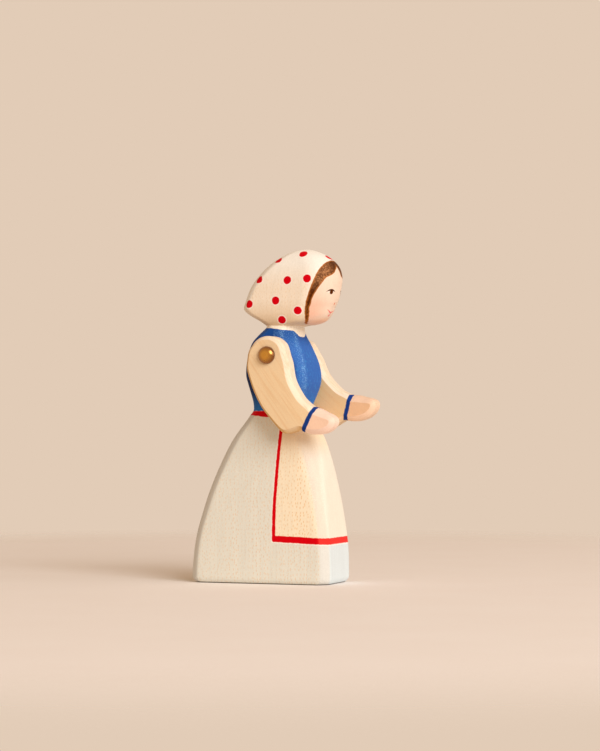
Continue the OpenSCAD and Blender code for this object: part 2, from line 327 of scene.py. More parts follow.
# The middle of the face and the parting, as distances round the girth, and the
# hairline from the chin to the parting on the doll's right and on its left, as
# (distance round from the parting, height)
FACE_MIDDLE = -0.5
PARTING = -1.3
RIGHT_HAIRLINE = [
    (1.6, 86.5), (2.2, 87.4), (4.8, 87.9), (6.7, 88.6), (8.0, 89.9), (8.8, 91.2), (9.4, 92.6),
    (9.6, 93.8), (9.9, 95.2), (9.9, 96.6), (9.2, 98.5), (7.8, 101.0), (6.3, 102.9), (3.4, 104.2),
    (1.9, 105.3), (0.7, 106.3), (0.0, 106.9), (-1.6, 109.0),
]
LEFT_HAIRLINE = [
    (3.2, 86.5), (3.8, 87.4), (6.4, 87.9), (8.3, 88.6), (9.6, 89.9), (10.4, 91.2), (11.0, 92.6),
    (11.2, 93.8), (11.5, 95.2), (11.5, 96.6), (10.8, 98.5), (9.0, 101.0), (6.6, 102.3),
    (3.6, 103.1), (1.7, 103.8), (0.9, 105.2), (0.3, 106.2), (0.0, 106.9), (-1.6, 109.0),
]
# The vest's neckline, as (height, distance round from the middle of the front)
NECKLINE = [
    (83.3, 0.0), (83.5, 2.5), (84.5, 4.4), (85.3, 5.9), (85.5, 9.2), (85.9, 12.7), (86.3, 17.0),
    (86.3, 40.0),
]
VEST_FOOT = 58.2
# The lower edge of the waistband, as (height, back)
WAISTBAND_FOOT = [(55.8, -20.0), (56.1, -3.2), (56.7, 3.0), (57.0, 12.0)]
# The middle of the apron's trim down each side, as (back, height), and across the
# foot, as (height, distance round)
APRON_SIDE = [
    (-5.45, 8.0), (-5.5, 16.6), (-5.53, 25.3), (-5.98, 34.1), (-6.48, 42.8), (-7.45, 51.5),
    (-8.3, 58.0),
]
APRON_FOOT = [(14.6, 0.0), (14.6, 9.3), (14.75, 15.0), (15.27, 29.5), (15.7, 60.0)]
SIDE_TRIM_WIDTH = 1.2
FOOT_TRIM_WIDTH = 2.15
# The dots on the kerchief, each as (share of the way round to the middle of the
# back, height)
SIDE_DOTS = [
    (0.42, 111.1), (0.722, 109.2), (0.755, 102.7), (0.504, 102.35), (0.338, 102.6),
    (0.535, 95.3), (0.747, 94.3), (0.331, 91.9), (0.497, 88.9),
]
MIDDLE_DOTS = [(0.02, 110.2), (1.0, 106.6), (1.0, 98.6), (1.0, 91.4)]
DOT_RADIUS = 1.38
# Dots above this height lie on the slope and are drawn out across the head
SLOPE_HEIGHT = 110.0
DRAWN_OUT_SHARE = 0.55

side_trim = beyond(APRON_SIDE, back, height)
foot_trim = -beyond(APRON_FOOT, height, np.abs(girth))
dot_shares = [(side * share, high) for share, high in SIDE_DOTS for side in (-1, 1)] + MIDDLE_DOTS
nearest_dot = np.full(len(points), np.inf)
share_round = girth[:-2].reshape(surface.shape[:2]) / np.maximum(half_girth, TINY)
share_round = np.append(share_round.reshape(-1), [0, 0])
for share, high in dot_shares:
    miss = (np.abs(share_round - share) * HEAD_WIDE) ** 2 + (height - high) ** 2
    middle = points[np.argmin(miss)]
    squash = [DRAWN_OUT_SHARE if high > SLOPE_HEIGHT else 1, 1, 1]
    nearest_dot = np.minimum(nearest_dot, np.linalg.norm((points - middle) * squash, axis=1))

# How far inside each painted field a point lies, in millimetres, less than zero
# outside it. The face is painted first and the hair over its rim.
fields = {
    "skirt": SKIRT_TALL - height,
    "trim": np.minimum(side_trim + SIDE_TRIM_WIDTH / 2, foot_trim + FOOT_TRIM_WIDTH / 2),
    "apron": np.minimum(side_trim - SIDE_TRIM_WIDTH / 2, foot_trim - FOOT_TRIM_WIDTH / 2),
    "waistband": np.minimum(-beyond(WAISTBAND_FOOT, height, back), VEST_FOOT - height),
    "vest": np.minimum(height - VEST_FOOT, beyond(NECKLINE, height, np.abs(girth))),
    "kerchief": height - NECK_HEIGHT,
    "skin": np.minimum(beyond(KERCHIEF_EDGE, back, height), height - NECK_HEIGHT),
    "dots": DOT_RADIUS - nearest_dot,
}
fields["trim"] = np.minimum(fields["trim"], fields["skirt"])
fields["apron"] = np.minimum(fields["apron"], fields["skirt"])
short_of_hair = np.where(
    girth < PARTING,
    beyond(RIGHT_HAIRLINE, PARTING - girth, height),
    beyond(LEFT_HAIRLINE, girth - PARTING, height),
)
fields["hair"] = np.minimum(fields["skin"], -short_of_hair)

# The shader also reads the distance round the girth, how squarely a point faces
# sideways, and how much the sandpaper took off the ridge there
sideways = np.zeros(len(points))
step = np.roll(surface, -1, 1) - np.roll(surface, 1, 1)
sideways[:-2] = (np.abs(step[..., 1]) / np.linalg.norm(step, axis=2)).reshape(-1)
worn = np.zeros(len(points))
worn[len(CLOSING_SHARES) * ring_count:-2] = np.linalg.norm(rings - sawn_rings, axis=2).reshape(-1)
fields.update(girth=girth, sideways=sideways, worn=worn)
for field, values in fields.items():
    figure.data.attributes.new(field, "FLOAT", "POINT").data.foreach_set("value", values)


def linear(hex_colour):
    """An sRGB hex colour as the linear values that shaders take."""
    channels = [int(hex_colour[i:i + 2], 16) / 255 for i in (0, 2, 4)]
    return [c / 12.92 if c <= 0.04045 else ((c + 0.055) / 1.055) ** 2.4 for c in channels] + [1.0]


def add(tree, kind, inputs=(), **settings):
    """Adds a node with its settings and links. Its inputs are given by name or in order, and
    each is a node, a socket, a plain value or an sRGB hex colour."""
    node = tree.nodes.new(kind)
    for name, value in settings.items():
        setattr(node, name, value)
    if isinstance(inputs, dict):
        pairs = [(node.inputs[name], value) for name, value in inputs.items()]
    else:
        pairs = zip([socket for socket in node.inputs if socket.enabled], inputs)
    for socket, value in pairs:
        if isinstance(value, bpy.types.Node):
            value = next(output for output in value.outputs if output.enabled)
        if isinstance(value, bpy.types.NodeSocket):
            tree.links.new(value, socket)
        else:
            socket.default_value = linear(value) if isinstance(value, str) else value
    return node


def started(name):
    """A new material, named for the real one and its finish, and its empty node tree."""
    finish = bpy.data.materials.new(name)
    finish.use_nodes = True
    finish.node_tree.nodes.clear()
    return finish, finish.node_tree


# Maple has fine straight grain along the board, broad soft bands, and short
# brown flecks in rows where its rays meet the flat-sawn face, right through the
# board. The spacings and the size of a fleck are in millimetres. Real grain and
# flecks are about half as wide, and are drawn coarser so that they show.
STREAK_ACROSS, STREAK_ALONG = 0.55, 14.0
BAND_ACROSS, BAND_ALONG = 5.0, 70.0
FLECK_ACROSS, FLECK_ALONG = 1.4, 1.5
FLECK_WIDE, FLECK_TALL = 0.4, 0.95
FLECK_STRAY_SHARE = 0.7
# A fleck fades between these shares of its half size, and is faintest off the bands
FLECK_FADE = (1.1, 0.5)
FLECK_FAINTEST = 0.45
# A noise pattern's values lie near a half, and are spread from these to 0 and 1
NOISE_RANGE = (0.3, 0.7)
BAND_RANGE = (0.35, 0.65)
grain = bpy.data.node_groups.new("maple grain", "ShaderNodeTree")
grain.interface.new_socket("Place", in_out="INPUT", socket_type="NodeSocketVector")
for output in ("Streak", "Band", "Fleck"):
    grain.interface.new_socket(output, in_out="OUTPUT", socket_type="NodeSocketFloat")
place = add(grain, "NodeGroupInput")
scales = {
    "Streak": (1 / STREAK_ACROSS, 1 / STREAK_ACROSS, 1 / STREAK_ALONG),
    "Band": (1 / BAND_ACROSS, 1 / BAND_ACROSS, 1 / BAND_ALONG),
    "Fleck": (1 / BAND_ALONG, 1 / FLECK_ACROSS, 1 / FLECK_ALONG),
}
scaled = {
    name: add(grain, "ShaderNodeVectorMath", [place, scale], operation="MULTIPLY")
    for name, scale in scales.items()
}
streak = add(grain, "ShaderNodeTexNoise", {
    "Vector": scaled["Streak"], "Scale": 1.0, "Detail": 3.0, "Roughness": 0.6,
})
streak = add(grain, "ShaderNodeMapRange", [streak, *NOISE_RANGE])
band = add(grain, "ShaderNodeTexNoise", {"Vector": scaled["Band"], "Scale": 1.0, "Detail": 2.0})
band = add(grain, "ShaderNodeMapRange", [band, *BAND_RANGE])
cell = add(grain, "ShaderNodeTexVoronoi", {
    "Vector": scaled["Fleck"], "Scale": 1.0, "Randomness": FLECK_STRAY_SHARE,
})
cell = cell.outputs["Position"]
cell_in_half_sizes = (0.0, 2 * FLECK_ACROSS / FLECK_WIDE, 2 * FLECK_ALONG / FLECK_TALL)
fleck = add(grain, "ShaderNodeVectorMath", [scaled["Fleck"], cell], operation="SUBTRACT")
fleck = add(grain, "ShaderNodeVectorMath", [fleck, cell_in_half_sizes], operation="MULTIPLY")
fleck = add(grain, "ShaderNodeVectorMath", [fleck], operation="LENGTH")
fleck = add(grain, "ShaderNodeMapRange", [fleck, *FLECK_FADE], interpolation_type="SMOOTHSTEP")
in_band = add(grain, "ShaderNodeMapRange", [band, 0.0, 1.0, FLECK_FAINTEST, 1.0])
fleck = add(grain, "ShaderNodeMath", [fleck, in_band], operation="MULTIPLY")
add(grain, "NodeGroupOutput", {"Streak": streak, "Band": band, "Fleck": fleck})

# Maple, hand carved and sanded, stained with thin water paints and waxed: matt,
# with the grain showing through every colour, a wavering edge to each field and
# paler ridges where the sandpaper has been over them. Each paint has its colour
# on the worked edges, on the flat-sawn sides, in the flecks and where it is worn.
# Some colours below also hold painted shade and painted light, where so named
BARE_WOOD = ("F6EAD6", "FFF6E8")
PAINTS = {
    "skirt": ("DBE6EA", "E8E8DE", "E6C8A2", "EAE9E0"),
    "trim": ("E83430", "DC0212", "D00418", "F03038"),
    "apron": ("F0E9DA", "FDF0D6", "E8B45C", "F8F4E8"),
    "waistband": ("E2061A", "D60816", "C00614", "F03038"),
    "vest": ("366ABE", "1F4E9E", "3A6CC0", "8CC2F4"),
    "kerchief": ("FBF8F0", "FBEEDC", "F0D8B6", "FFFFFF"),
    "skin": ("F5DCC8", "F8DCC4", "F2C4A0", "FCEADA"),
    "hair": ("4A2006", "843E12", "A87040", "A87246"),
    "dots": ("DE0218", "DA0216", "C80418", "F03038"),
}
# How squarely a point faces sideways where the flat side's colour starts and is full
SIDE_SHARES = (0.90, 0.985)
FLECK_SHARE = 0.6
# The bevels of the skirt and apron are painted darker and greyer, as painted shade
BEVEL_SHADE_COLOURS = {"skirt": "DCDCD6", "apron": "E8DCCC"}
BEVEL_SHADE_SHARES = (0.3, 0.6)
# The vest's blue went on unevenly, and its bevels towards the back are painted
# a darker blue, as painted shade
VEST_WASH_COLOUR = "3E90D8"
WASH_LEVELS = (0.52, 0.7)
WASH_SHARE = 0.5
VEST_BACK_SHADE_COLOUR = "12295C"
BACK_SHADE_SHARES = (0.15, 0.5)
# Some paints change with the height: from where, to where, and to which colour.
# The skirt darkens at its foot as a painted contact shadow. The kerchief is
# darker and warmer low down as painted shade, and paler towards the crown as
# painted light from above. The hair is lighter towards the top as a painted
# highlight, and darker at its lower strand. The apron is warmer under the arms
# as painted shade. The vest is lighter near the waist and darker towards the neck.
HEIGHT_SHADES_AND_TINTS = {
    "skirt": [(0.4, 0.15, "5A4634")],
    "kerchief": [(96.0, 88.0, "E8CFAE"), (100.0, 108.0, "FAF6EE")],
    "hair": [(96.0, 91.0, "50220A"), (98.0, 103.0, "BC8458")],
    "apron": [(43.0, 50.0, "FAE4C4")],
    "vest": [(65.0, 58.0, "2E77CA"), (79.5, 84.0, "20509E")],
}
# The brush left dark streaks in the hair. It is darkest at the parting, so far to
# either side, and reddish along its rim, so far inside it. The rim wavers more than
# the edge does.
BRUSHED_LEVELS = (0.7, 1.2)
BRUSHED_SHARE = 0.75
PARTING_REACH = (2.0, 5.5)
PARTING_SHARE = 0.85
PARTING_COLOUR = "4A2208"
HAIR_RIM = (0.1, 0.65)
HAIR_RIM_WAVER = 2.0
HAIR_RIM_SHARE = 0.8
HAIR_RIM_COLOUR = "C07430"
# How soft each field's edge is, how far it wavers, and the size of the clouds in
# which the stain lies thicker or thinner
EDGE_SOFT = 0.09
EDGE_WAVER = 0.45
CLOUD = 1.111
# Close round the trim and the dots the wood took up no stain: where that starts
# and where it is full, in millimetres, below zero outside their edge
HALOED = ("trim", "dots")
HALO = (-0.5, -0.15)
HALO_SHARE = 0.8
HALO_COLOUR = "FFFAF2"
# A ridge is worn in specks, by how deep the sandpaper went. The specks are drawn
# twice as wide as real ones, so that they show.
WORN_DEPTHS = (0.01, 0.3)
WORN_SHARE = 0.65
SPECK = 0.36
SPECK_LEVELS = (0.55, 0.65)
SPECK_FAINTEST = 0.14
# Grain, bands and the stain's mottle together darken or lighten every colour. The
# mottle is of pores a tenth of a millimetre wide, and is drawn coarser to show.
MOTTLE = 0.45
BAND_IN_TONE = 0.4
FIGURE_TONES = (0.92, 1.07)
maple, tree = started("hand carved maple, stained and waxed")
coordinates = add(tree, "ShaderNodeTexCoord").outputs
place = add(tree, "ShaderNodeVectorMath", [coordinates["Object"], 1 / MM], operation="SCALE")
high = add(tree, "ShaderNodeSeparateXYZ", [place]).outputs["Z"]
outward = add(tree, "ShaderNodeSeparateXYZ", [coordinates["Normal"]]).outputs["Y"]
measured = {
    name: add(tree, "ShaderNodeAttribute", attribute_name=name).outputs["Fac"] for name in fields
}
streak, band, fleck = add(tree, "ShaderNodeGroup", [place], node_tree=grain).outputs
mottle = add(tree, "ShaderNodeTexNoise", {"Vector": place, "Scale": 1 / MOTTLE, "Detail": 2.0})
mottle = add(tree, "ShaderNodeMapRange", [mottle, *NOISE_RANGE])
tone = add(tree, "ShaderNodeMath", [band, BAND_IN_TONE, streak], operation="MULTIPLY_ADD")
tone = add(tree, "ShaderNodeMath", [tone, mottle], operation="ADD")
tone = add(tree, "ShaderNodeMapRange", [tone, 0.0, 2 + BAND_IN_TONE, *FIGURE_TONES])
on_side = add(tree, "ShaderNodeMapRange", [measured["sideways"], *SIDE_SHARES])
# The bevels' painted shade, and the vest's painted shade where its bevels face back
bevel_shade = add(tree, "ShaderNodeMapRange", [measured["sideways"], *BEVEL_SHADE_SHARES])
back_shade = add(tree, "ShaderNodeMapRange", [outward, *BACK_SHADE_SHARES])
fleck = add(tree, "ShaderNodeMath", [fleck, on_side], operation="MULTIPLY")
fleck = add(tree, "ShaderNodeMath", [fleck, FLECK_SHARE], operation="MULTIPLY")
cloud = add(tree, "ShaderNodeTexNoise", {"Vector": place, "Scale": 1 / CLOUD, "Detail": 4.0})
waver = add(tree, "ShaderNodeMapRange", [cloud, 0.0, 1.0, -EDGE_WAVER / 2, EDGE_WAVER / 2])
washed = add(tree, "ShaderNodeMapRange", [cloud, *WASH_LEVELS, 0.0, WASH_SHARE])
speck = add(tree, "ShaderNodeTexNoise", {"Vector": place, "Scale": 1 / SPECK, "Detail": 1.0})
speck = add(tree, "ShaderNodeMapRange", [speck, *SPECK_LEVELS, SPECK_FAINTEST, 1.0])
worn = add(tree, "ShaderNodeMapRange", [measured["worn"], *WORN_DEPTHS, 0.0, WORN_SHARE])
worn = add(tree, "ShaderNodeMath", [worn, speck], operation="MULTIPLY")
brushed = add(tree, "ShaderNodeMath", [mottle, cloud], operation="ADD")
brushed = add(tree, "ShaderNodeMapRange", [brushed, *BRUSHED_LEVELS, 0.0, BRUSHED_SHARE])
parting = add(tree, "ShaderNodeMath", [measured["girth"], PARTING], operation="SUBTRACT")
parting = add(tree, "ShaderNodeMath", [parting], operation="ABSOLUTE")
parting = add(tree, "ShaderNodeMapRange", [parting, *PARTING_REACH, PARTING_SHARE, 0.0])
hair_rim = add(
    tree, "ShaderNodeMath", [waver, HAIR_RIM_WAVER, measured["hair"]], operation="MULTIPLY_ADD"
)
hair_rim = add(tree, "ShaderNodeMapRange", [hair_rim, *HAIR_RIM, HAIR_RIM_SHARE, 0.0])

# A paint's coats, each a share and a colour: those under the flat side's colour and
# the flecks, among them the painted shade on the bevels and on the vest's back, and
# those over them, among them the height tints with their painted shade and light
under_coats = {field: [(bevel_shade, tint)] for field, tint in BEVEL_SHADE_COLOURS.items()}
under_coats["vest"] = [(washed, VEST_WASH_COLOUR), (back_shade, VEST_BACK_SHADE_COLOUR)]
over_coats = {
    field: [(add(tree, "ShaderNodeMapRange", [high, *reach]), tint) for *reach, tint in tints]
    for field, tints in HEIGHT_SHADES_AND_TINTS.items()
}
over_coats["hair"] += [
    (brushed, PAINTS["hair"][0]), (parting, PARTING_COLOUR), (hair_rim, HAIR_RIM_COLOUR),
]
colour = add(tree, "ShaderNodeMix", [streak, *BARE_WOOD], data_type="RGBA")
covers = {}
for field, (edge_colour, side_colour, fleck_colour, worn_colour) in PAINTS.items():
    inside = add(tree, "ShaderNodeMath", [measured[field], waver], operation="ADD")
    if field in HALOED:
        halo = add(tree, "ShaderNodeMapRange", [inside, *HALO, 0.0, HALO_SHARE])
        colour = add(tree, "ShaderNodeMix", [halo, colour, HALO_COLOUR], data_type="RGBA")
    stain = edge_colour
    for share, coat in (
        *under_coats.get(field, ()), (on_side, side_colour), (fleck, fleck_colour),
        *over_coats.get(field, ()), (worn, worn_colour),
    ):
        stain = add(tree, "ShaderNodeMix", [share, stain, coat], data_type="RGBA")
    covers[field] = add(tree, "ShaderNodeMapRange", [inside, -EDGE_SOFT, EDGE_SOFT])
    colour = add(tree, "ShaderNodeMix", [covers[field], colour, stain], data_type="RGBA")
bare_face = add(tree, "ShaderNodeMath", [covers["skin"], covers["hair"]], operation="SUBTRACT")

# The face is painted with a fine brush: a blush, the white, iris and upper lid of
# each eye, a dab for the nose and two strokes for the mouth. The blush also stands
# in for the shade on the lower cheeks, and a warm dab under the chin is painted
# light bounced up from below. Places are from the middle of the face and up from
# the table.
EYE_PLACE = 4.1
from_middle = add(tree, "ShaderNodeMath", [measured["girth"], FACE_MIDDLE], operation="SUBTRACT")
from_middle = add(tree, "ShaderNodeMath", [from_middle], operation="ABSOLUTE")
from_eye = add(tree, "ShaderNodeMath", [from_middle, EYE_PLACE], operation="SUBTRACT")
# Each dab: what it is measured from, its place and height, half its width and its
# height, how much of it is soft edge, its strength and its colour
FACE_DABS = [
    # The blush on the lower cheeks, partly painted shade
    (from_middle, 9.2, 91.4, 7.6, 8.4, 1.0, 0.6, "F2AE90"),
    # A warm glow under the chin, painted light bounced up from below
    (from_middle, 0.0, 87.4, 9.5, 3.0, 0.6, 0.95, "FFCEAC"),
    (from_eye, 1.0, 98.2, 0.95, 0.42, 0.3, 0.9, "FCEEE0"),
    (from_eye, -0.8, 98.3, 0.5, 0.34, 0.3, 0.7, "FCEEE0"),
    (from_eye, 0.0, 98.2, 0.92, 0.92, 0.3, 1.0, "5A2600"),
    (from_middle, 0.0, 94.4, 0.6, 0.6, 0.6, 1.0, "E88A66"),
    (from_middle, 0.15, 90.5, 0.62, 0.5, 0.5, 0.9, "F07A74"),
]
for distance, aside, up, wide, tall, soft, strength, paint in FACE_DABS:
    dab = add(tree, "ShaderNodeCombineXYZ", [distance, high])
    dab = add(tree, "ShaderNodeVectorMath", [dab, (aside, up, 0.0)], operation="SUBTRACT")
    dab = add(tree, "ShaderNodeVectorMath", [dab, (wide, tall, 1.0)], operation="DIVIDE")
    dab = add(tree, "ShaderNodeVectorMath", [dab], operation="LENGTH")
    cover = add(
        tree, "ShaderNodeMapRange", [dab, 1.0, 1.0 - soft, 0.0, strength],
        interpolation_type="SMOOTHSTEP",
    )
    cover = add(tree, "ShaderNodeMath", [cover, bare_face], operation="MULTIPLY")
    colour = add(tree, "ShaderNodeMix", [cover, colour, paint], data_type="RGBA")

# Each stroke: what it is measured from, where it is highest, its height there, how
# it curves and slopes, half its length and half its thickness. It narrows to its
# ends, and its edge is soft from a little outside to a little inside.
STROKE_EDGE = (0.08, -0.1)
FACE_STROKES = [
    (from_eye, 0.15, 98.9, -0.15, 0.0, 2.25, 0.32, "4A2204"),
    (from_middle, 0.0, 91.3, 0.0, 0.36, 3.2, 0.27, "F07A74"),
]
for distance, aside, top, curve, slope, half, thick, paint in FACE_STROKES:
    off = add(tree, "ShaderNodeMath", [distance, aside], operation="SUBTRACT")
    bend = add(tree, "ShaderNodeMath", [off, curve, slope], operation="MULTIPLY_ADD")
    bend = add(tree, "ShaderNodeMath", [off, bend, top], operation="MULTIPLY_ADD")
    miss = add(tree, "ShaderNodeMath", [high, bend], operation="SUBTRACT")
    miss = add(tree, "ShaderNodeMath", [miss], operation="ABSOLUTE")
    narrow = add(tree, "ShaderNodeMath", [off, off], operation="MULTIPLY")
    narrow = add(
        tree, "ShaderNodeMath", [narrow, -thick / half**2, thick], operation="MULTIPLY_ADD"
    )
    outside = add(tree, "ShaderNodeMath", [miss, narrow], operation="SUBTRACT")
    cover = add(tree, "ShaderNodeMapRange", [outside, *STROKE_EDGE])
    colour = add(tree, "ShaderNodeMix", [cover, colour, paint], data_type="RGBA")

# The wax shines on the pale woods and sinks into the dark paints: between which
# lightnesses, and the shine at each
WAX_ROUGHNESS = 0.5
WAX_LEVELS = (0.25, 0.6, 0.04, 0.16)


def waxed(tree, colour, tone):
    """Ends a wood's node tree with its tone and the wax over it."""
    colour = add(tree, "ShaderNodeVectorMath", [colour, tone], operation="SCALE")
    lightness = add(tree, "ShaderNodeRGBToBW", [colour])
    wood = add(tree, "ShaderNodeBsdfPrincipled", {
        "Base Color": colour, "Roughness": WAX_ROUGHNESS,
        "Specular IOR Level": add(tree, "ShaderNodeMapRange", [lightness, *WAX_LEVELS]),
    })
    add(tree, "ShaderNodeOutputMaterial", {"Surface": wood})


waxed(tree, colour, tone)
figure.data.materials.append(maple)
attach(figure, "figure")
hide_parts("figure")

# The two arms are sawn from a thinner board with slanting grain, rounded along
# their edges, and turned on the nails. Sleeves are bare, hands are stained pink
# and a blue line marks each cuff. The left arm stands a little higher.
UPPER_ARM = 26.2
FOREARM = 23.5
SHOULDER_RADIUS = 6.4
ARM_EDGE = 1.6
BACK_EDGE_SHARE = 0.5
LEFT_LIFT = 13.5
ARM_ROUND_SHARE = 0.4
BORE_WIDTH = 1.7
BORE_SIDES = 48
SHOULDER_START, SHOULDER_END, SHOULDER_POINTS = 30.0, 150.0, 8
# The outline below the shoulder as shares: reach, height and size of its edge
ARM_SHARES = [
    (-0.287, 0.050, 0.50), (-0.309, -0.050, 0.50), (-0.317, -0.153, 0.50), (-0.292, -0.255, 0.50),
    (-0.215, -0.450, 0.50), (-0.123, -0.615, 0.50), (-0.049, -0.715, 0.50), (0.102, -0.875, 0.55),
    (0.180, -0.950, 0.60), (0.238, -0.990, 0.70), (0.305, -0.996, 0.80), (0.490, -0.950, 0.90),
    (0.530, -0.973, 1.00), (0.660, -1.008, 1.10), (0.820, -1.000, 1.10), (0.936, -0.950, 1.00),
    (0.998, -0.875, 0.95), (0.994, -0.810, 0.95), (0.940, -0.765, 1.10), (0.862, -0.730, 1.30),
    (0.765, -0.685, 1.50), (0.680, -0.660, 1.50), (0.638, -0.646, 1.00), (0.562, -0.593, 1.00),
    (0.495, -0.532, 1.00), (0.398, -0.391, 1.00), (0.346, -0.274, 1.00), (0.312, -0.100, 1.00),
    (0.281, -0.010, 1.00),
]
shoulder_angles = np.radians(np.linspace(SHOULDER_START, SHOULDER_END, SHOULDER_POINTS))
shoulder_edges = ARM_EDGE * np.linspace(1, BACK_EDGE_SHARE, SHOULDER_POINTS)
arm_points = [
    (SHOULDER_RADIUS * math.cos(a), SHOULDER_RADIUS * math.sin(a), edge)
    for a, edge in zip(shoulder_angles, shoulder_edges)
]
arm_points += [
    (reach * FOREARM, high * UPPER_ARM, edge * ARM_EDGE) for reach, high, edge in ARM_SHARES
]
OUTLINE_STEPS = 10
outline = smoothed(arm_points, OUTLINE_STEPS, closed=True)
# How many points either way the drawn-in edge is square to, how finely it is
# rounded, and how wide a rim the flat faces have
SQUARE_REACH = 13
EDGE_STEPS = 10
CAP_RIM = 0.15
FLAT_SHARE = 0.9999


def drawn_in(outline, inset):
    """The outline drawn in, square to the line between the points before and behind."""
    way = np.roll(outline, -SQUARE_REACH, 0)[:, :2] - np.roll(outline, SQUARE_REACH, 0)[:, :2]
    way /= np.linalg.norm(way, axis=1, keepdims=True)
    inner = outline[:, :2] + inset[:, None] * np.stack([-way[:, 1], way[:, 0]], 1)
    return sanded(inner[None], max(TINY, SANDING * inset.max() / ARM_EDGE))[0]


# Sawn maple, sanded round its edges, the hand stained, all of it waxed: warm and
# matt, with darker grain lines that slant down the sleeve. Colours that differ
# are for the right arm and for the left, whose wood and hand are painted darker
# and browner as painted shade.
EDGE_WOOD, UNDERSIDE_SHADE_WOOD, GRAIN_LINE = "FAE8D0", "E0B87C", "DCAA6E"
FLAT_WOOD_AND_LEFT_SHADE = ("F9DDB4", "F1D19F")
HAND_EDGE_AND_LEFT_SHADE = ("FFE0CE", "F8D6BA")
HAND_FACE_AND_LEFT_SHADE = ("FFDAC0", "F0C69E")
LINE_LEVELS = (0.45, 0.9)
LINE_SHARE = 0.32
ARM_BAND_IN_TONE = 1.0
ARM_TONES = (0.91, 1.06)
GRAIN_SLOPE = 54.0
ARM_GRAIN_FINENESS = 0.75
# The edges at the back and underneath are painted browner and warmer, as painted
# shade and light bounced up from the skirt
UNDERSIDE_SHADE_WAY = (0.0, 0.75, -0.66)
UNDERSIDE_SHADE_SHARES = (-0.1, 0.5)
# The cuff's distance from the nail, and how much nearer the left one is
CUFF_COLOUR = "1A3F8C"
CUFF_DISTANCE = 22.65
LEFT_CUFF_SHIFT = -0.9
CUFF_WIDTH = 1.42
CUFF_SLOPE = 63.5
CUFF_WAVER = 0.25
arm_maple, tree = started("sawn maple, stained and waxed")
# Each arm's pattern lies on its board as it was sawn, the right one at negative X
board = add(tree, "ShaderNodeAttribute", attribute_name="board").outputs["Vector"]
across_board = add(tree, "ShaderNodeSeparateXYZ", [board]).outputs["X"]
is_left = add(tree, "ShaderNodeMapRange", [across_board, -1.0, 1.0])
sideways = add(tree, "ShaderNodeAttribute", attribute_name="sideways").outputs["Fac"]
on_side = add(tree, "ShaderNodeMapRange", [sideways, *SIDE_SHARES])
slope = math.radians(GRAIN_SLOPE)
grain_axes = [
    (1.0, 0.0, 0.0),
    (0.0, math.sin(slope), math.cos(slope)),
    (0.0, math.cos(slope), -math.sin(slope)),
]
grain_place = add(tree, "ShaderNodeCombineXYZ", [
    add(tree, "ShaderNodeVectorMath", [board, axis], operation="DOT_PRODUCT") for axis in grain_axes
])
grain_place = add(
    tree, "ShaderNodeVectorMath", [grain_place, ARM_GRAIN_FINENESS], operation="SCALE"
)
streak, band = add(tree, "ShaderNodeGroup", [grain_place], node_tree=grain).outputs[:2]
mottle = add(tree, "ShaderNodeTexNoise", {"Vector": board, "Scale": 1 / MOTTLE, "Detail": 2.0})
mottle = add(tree, "ShaderNodeMapRange", [mottle, *NOISE_RANGE])
tone = add(tree, "ShaderNodeMath", [band, ARM_BAND_IN_TONE, streak], operation="MULTIPLY_ADD")
tone = add(tree, "ShaderNodeMath", [tone, mottle], operation="ADD")
tone = add(tree, "ShaderNodeMapRange", [tone, 0.0, 2 + ARM_BAND_IN_TONE, *ARM_TONES])
outward = add(tree, "ShaderNodeTexCoord").outputs["Normal"]
# Painted warm shade and bounced light on the back and lower edges
underside_shade = add(tree, "ShaderNodeVectorMath", [outward, UNDERSIDE_SHADE_WAY], operation="DOT_PRODUCT")
underside_shade = add(tree, "ShaderNodeMapRange", [underside_shade, *UNDERSIDE_SHADE_SHARES])
edge_wood = add(tree, "ShaderNodeMix", [underside_shade, EDGE_WOOD, UNDERSIDE_SHADE_WOOD], data_type="RGBA")
# The left arm's flat wood and hand are painted darker, as painted shade
flat_wood = add(tree, "ShaderNodeMix", [is_left, *FLAT_WOOD_AND_LEFT_SHADE], data_type="RGBA")
line = add(tree, "ShaderNodeMapRange", [streak, *LINE_LEVELS, 0.0, LINE_SHARE])
cuff_way = (0.0, math.sin(math.radians(CUFF_SLOPE)), -math.cos(math.radians(CUFF_SLOPE)))
past_cuff = add(tree, "ShaderNodeVectorMath", [board, cuff_way], operation="DOT_PRODUCT")
cuff_place = add(
    tree, "ShaderNodeMath", [is_left, LEFT_CUFF_SHIFT, CUFF_DISTANCE], operation="MULTIPLY_ADD"
)
past_cuff = add(tree, "ShaderNodeMath", [past_cuff, cuff_place], operation="SUBTRACT")
cloud = add(tree, "ShaderNodeTexNoise", {"Vector": board, "Scale": 1 / CLOUD, "Detail": 3.0})
waver = add(tree, "ShaderNodeMapRange", [cloud, 0.0, 1.0, -CUFF_WAVER, CUFF_WAVER])
past_cuff = add(tree, "ShaderNodeMath", [past_cuff, waver], operation="ADD")
hand_edge = add(tree, "ShaderNodeMix", [is_left, *HAND_EDGE_AND_LEFT_SHADE], data_type="RGBA")
hand_face = add(tree, "ShaderNodeMix", [is_left, *HAND_FACE_AND_LEFT_SHADE], data_type="RGBA")
hand = add(tree, "ShaderNodeMix", [on_side, hand_edge, hand_face], data_type="RGBA")
is_hand = add(tree, "ShaderNodeMapRange", [past_cuff, 0.0, EDGE_SOFT])
off_line = add(tree, "ShaderNodeMath", [past_cuff], operation="ABSOLUTE")
is_cuff = add(
    tree, "ShaderNodeMapRange", [off_line, CUFF_WIDTH / 2 + EDGE_SOFT, CUFF_WIDTH / 2 - EDGE_SOFT]
)
colour = edge_wood
for share, coat in (
    (on_side, flat_wood), (line, GRAIN_LINE), (is_hand, hand), (is_cuff, CUFF_COLOUR)
):
    colour = add(tree, "ShaderNodeMix", [share, colour, coat], data_type="RGBA")
waxed(tree, colour, tone)

